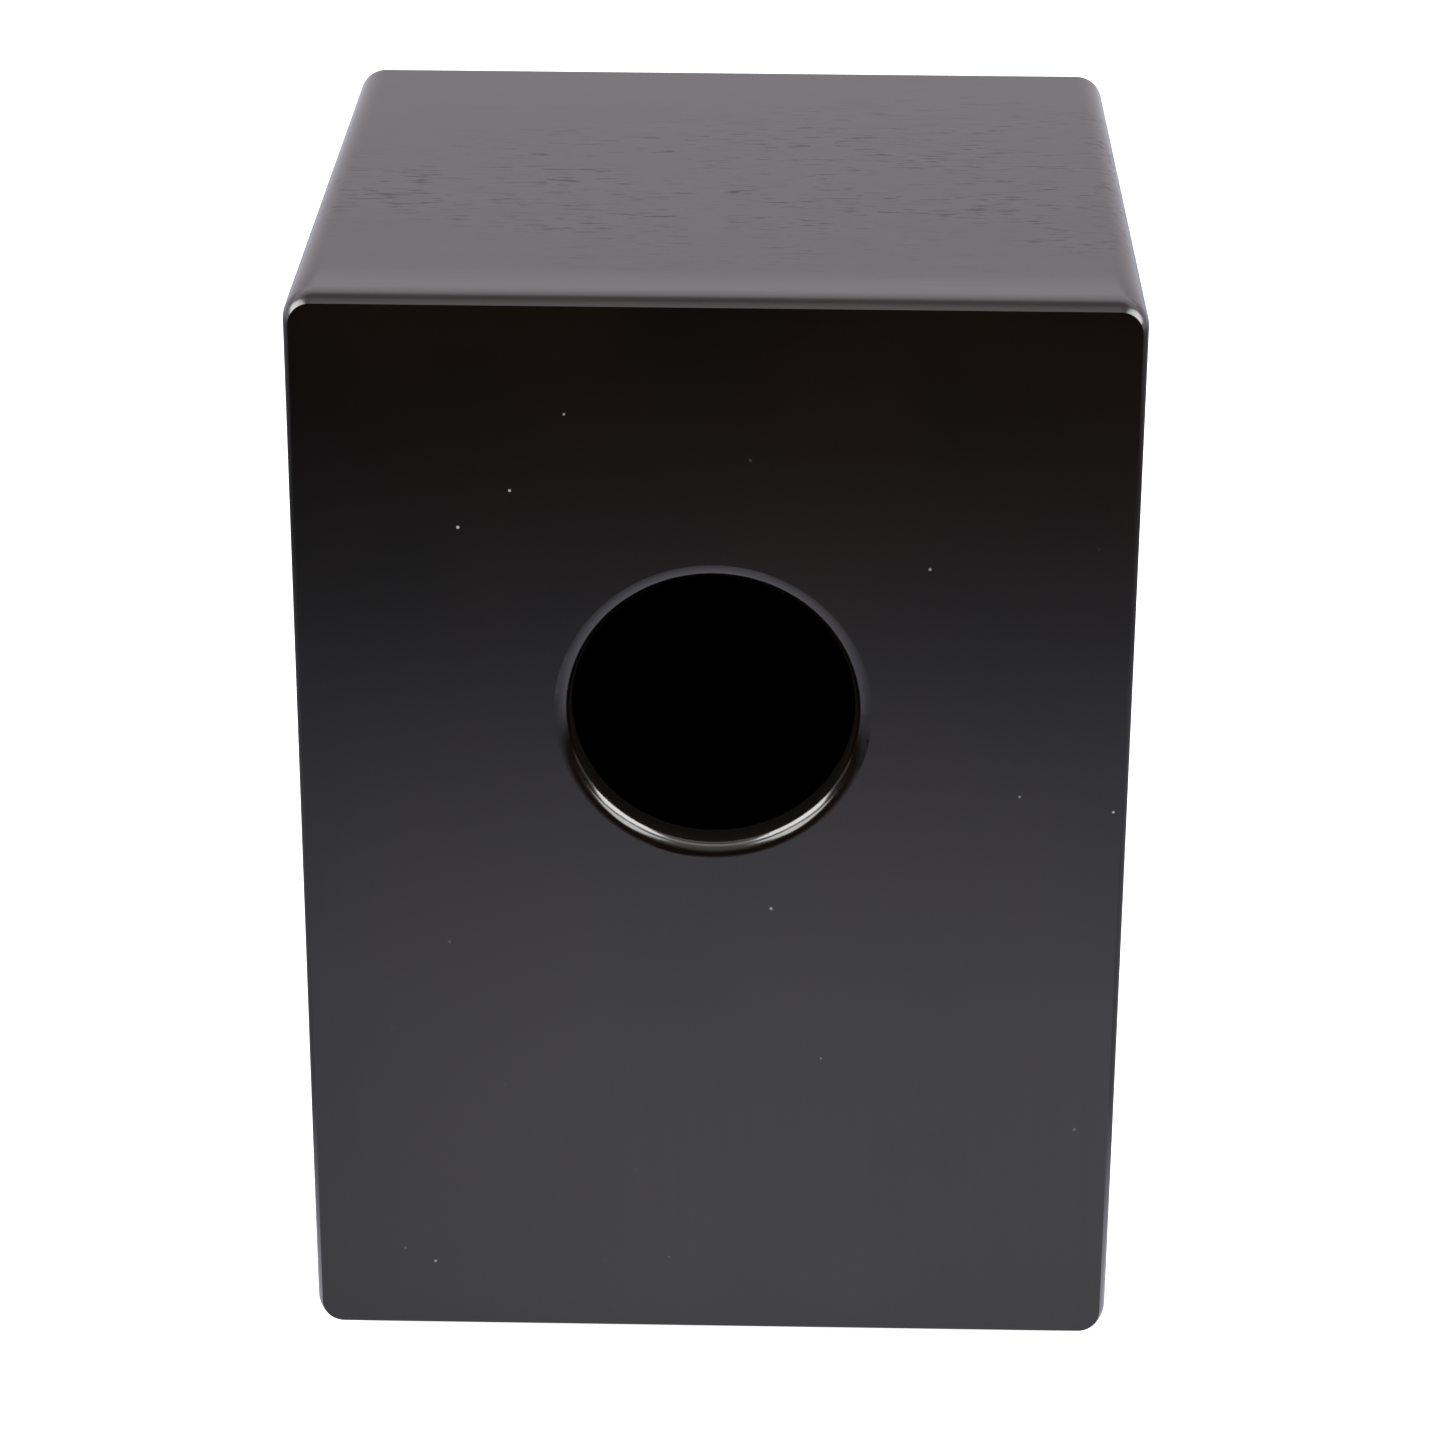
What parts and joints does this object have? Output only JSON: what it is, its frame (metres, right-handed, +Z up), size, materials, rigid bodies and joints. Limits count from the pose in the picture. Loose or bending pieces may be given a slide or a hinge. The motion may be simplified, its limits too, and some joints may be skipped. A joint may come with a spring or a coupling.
{
  "type": "cajon",
  "caption": "Hollow wooden box drum in black satin lacquer, with a round sound hole in the rear panel, rubber feet and a snare unit inside on a lever.",
  "frame": {"origin": "centre of the footprint, on the surface that the feet stand on", "axes": "+Z up, -Y towards the tapa that is struck, +Y out of the sound hole, +X to the right seen from the tapa's side"},
  "size_m": [0.3, 0.295, 0.419],
  "materials": {
    "lacquered_seat": "black satin lacquer over open-pored wood",
    "lacquered_boards": "black satin lacquer, stained black inside",
    "lacquered_panel": "black satin lacquer",
    "lacquered_tapa": "black satin lacquer over a thin veneered plate",
    "batten_wood": "stained black, matt",
    "hardwood": "oiled",
    "zinc_steel": "zinc plated",
    "rod_steel": "satin",
    "snare_steel": "bright drawn wire",
    "rubber": "matt"
  },
  "bodies": {
    "box": {"seat_board": "lacquered_seat", "base_board": "lacquered_boards", "left_side_board": "lacquered_boards", "right_side_board": "lacquered_boards", "rear_panel": "lacquered_panel", "tapa": "lacquered_tapa", "tapa_screws": "zinc_steel", "corner_batten_top_left": "batten_wood", "corner_batten_top_right": "batten_wood", "corner_batten_bottom_left": "batten_wood", "corner_batten_bottom_right": "batten_wood", "foot_front_left": "rubber", "foot_front_right": "rubber", "foot_rear_left": "rubber", "foot_rear_right": "rubber", "foot_washers": "zinc_steel", "foot_screws": "zinc_steel", "pivot_block_left": "hardwood", "pivot_block_right": "hardwood", "pivot_block_screws": "zinc_steel", "clamp_screws": "zinc_steel", "clamp_nuts": "zinc_steel"},
    "snare": {"snare_rod": "rod_steel", "rod_collar_left": "zinc_steel", "rod_collar_right": "zinc_steel", "snare_holder_left": "hardwood", "snare_holder_right": "hardwood", "snare_plate_left": "snare_steel", "snare_plate_right": "snare_steel", "snare_wires_left": "snare_steel", "snare_wires_right": "snare_steel", "plate_screws": "zinc_steel", "set_screws": "zinc_steel", "release_lever": "rod_steel", "lever_grip": "rubber"}
  },
  "joints": [
    {"name": "snare_release", "type": "hinge", "parent": "box", "child": "snare", "pos_m": [0, -0.122, 0.33], "axis": [1, 0, 0], "range_deg": [0, 18]}
  ]
}
